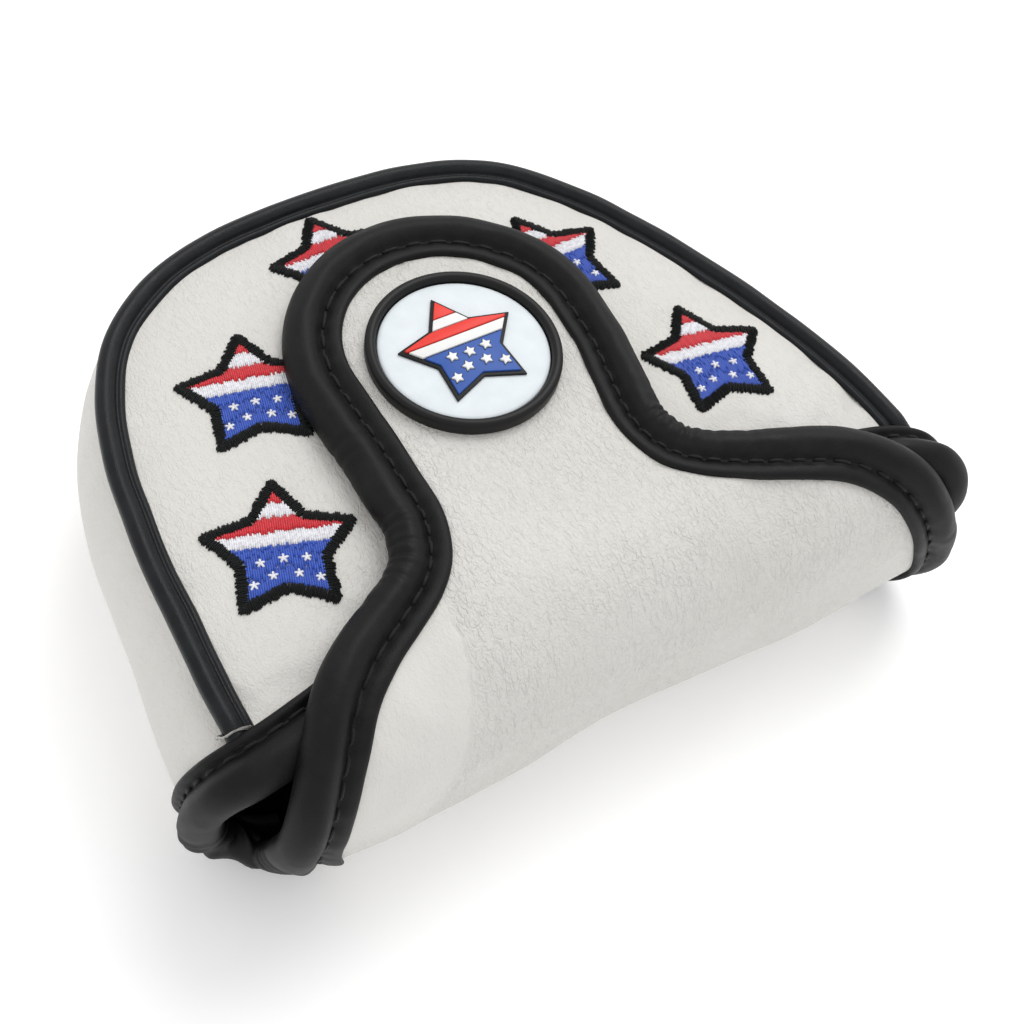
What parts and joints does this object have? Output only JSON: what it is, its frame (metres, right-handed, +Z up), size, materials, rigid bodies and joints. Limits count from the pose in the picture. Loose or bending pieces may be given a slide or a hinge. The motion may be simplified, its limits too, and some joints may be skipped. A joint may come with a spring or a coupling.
{
  "type": "putter head cover",
  "caption": "Padded D-shaped leather cover for a mallet putter head, with a wrap-over flap, tongue and hidden magnet.",
  "frame": {"origin": "bottom centre of the whole cover, lying on its bottom panel", "axes": "+X right along the mouth, +Y towards the round back, +Z up through the top panel and the badge"},
  "size_m": [0.1194, 0.094, 0.0428],
  "materials": {
    "white_leather": "fine pebbled, soft sheen",
    "black_leather": "smooth, soft sheen",
    "foam": "open-cell foam sheet",
    "pile_lining": "short soft pile",
    "steel": "plain",
    "magnet": "plated",
    "piping_cord": "braided cord",
    "black_thread": "twisted thread",
    "embroidery": "satin stitch in black, red, white and blue",
    "black_rubber": "moulded, matte",
    "white_rubber": "moulded, matte",
    "blue_rubber": "moulded, matte",
    "red_rubber": "moulded, matte"
  },
  "bodies": {
    "cover": {"bottom_panel": "white_leather", "side_gusset": "white_leather", "top_panel": "white_leather", "bottom_padding": "foam", "gusset_padding": "foam", "top_padding": "foam", "bottom_lining": "pile_lining", "gusset_lining": "pile_lining", "top_lining": "pile_lining", "keeper_plate": "steel", "top_piping": "black_leather", "piping_cord": "piping_cord", "mouth_binding": "black_leather", "mouth_binding_foam": "foam", "mouth_stitching": "black_thread", "lip_binding": "black_leather", "embroidered_star_1": "embroidery", "embroidered_star_2": "embroidery", "embroidered_star_3": "embroidery", "embroidered_star_4": "embroidery", "embroidered_star_5": "embroidery"},
    "flap_front": {"front_leather": "white_leather", "front_padding": "foam", "front_lining": "pile_lining", "front_binding_left": "black_leather", "front_binding_right": "black_leather", "front_binding_foam": "foam", "front_stitching": "black_thread"},
    "flap_tongue": {"tongue_leather": "white_leather", "tongue_padding": "foam", "tongue_lining": "pile_lining", "tongue_binding": "black_leather", "tongue_binding_foam": "foam", "tongue_stitching": "black_thread", "closure_magnet": "magnet", "badge_base": "black_rubber", "badge_face": "white_rubber", "badge_emblem_base": "black_rubber", "badge_blue_field": "blue_rubber", "badge_red_stripes": "red_rubber", "badge_white_stripes": "white_rubber"}
  },
  "joints": [
    {"name": "lower_fold", "type": "hinge", "parent": "cover", "child": "flap_front", "pos_m": [0, -0.04242, 0.0029], "axis": [1, 0, 0], "range_deg": [0, 85]},
    {"name": "upper_fold", "type": "hinge", "parent": "flap_front", "child": "flap_tongue", "pos_m": [0, -0.02802, 0.0423], "axis": [1, 0, 0], "range_deg": [0, 90]}
  ]
}
